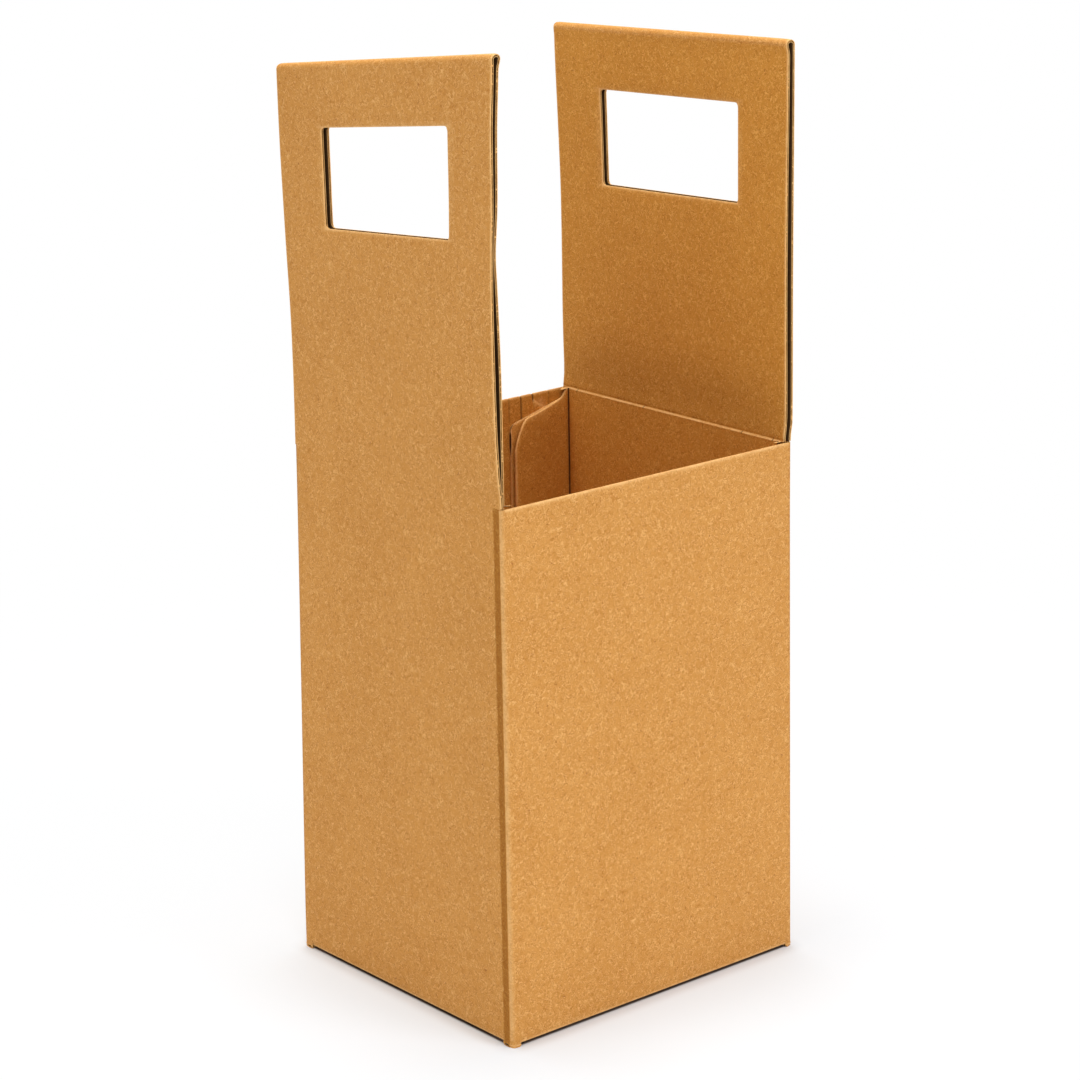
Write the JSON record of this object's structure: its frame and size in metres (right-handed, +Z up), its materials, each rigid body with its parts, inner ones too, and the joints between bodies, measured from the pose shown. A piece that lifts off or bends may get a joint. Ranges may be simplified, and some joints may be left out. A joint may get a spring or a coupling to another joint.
{
  "type": "cardboard cup carrier",
  "caption": "Tall open-topped box of folded corrugated board with upright double-ply handle panels on opposite walls.",
  "frame": {"origin": "on the floor, under the middle of the box", "axes": "+Z up, along the walls and handles; +X from one handle wall to the other; +Y from the open front wall to the back wall"},
  "size_m": [0.159, 0.146, 0.4085],
  "materials": {
    "kraft_board": "matte brown kraft liner"
  },
  "bodies": {
    "root": {"carrier_sheet": "kraft_board"}
  },
  "joints": []
}
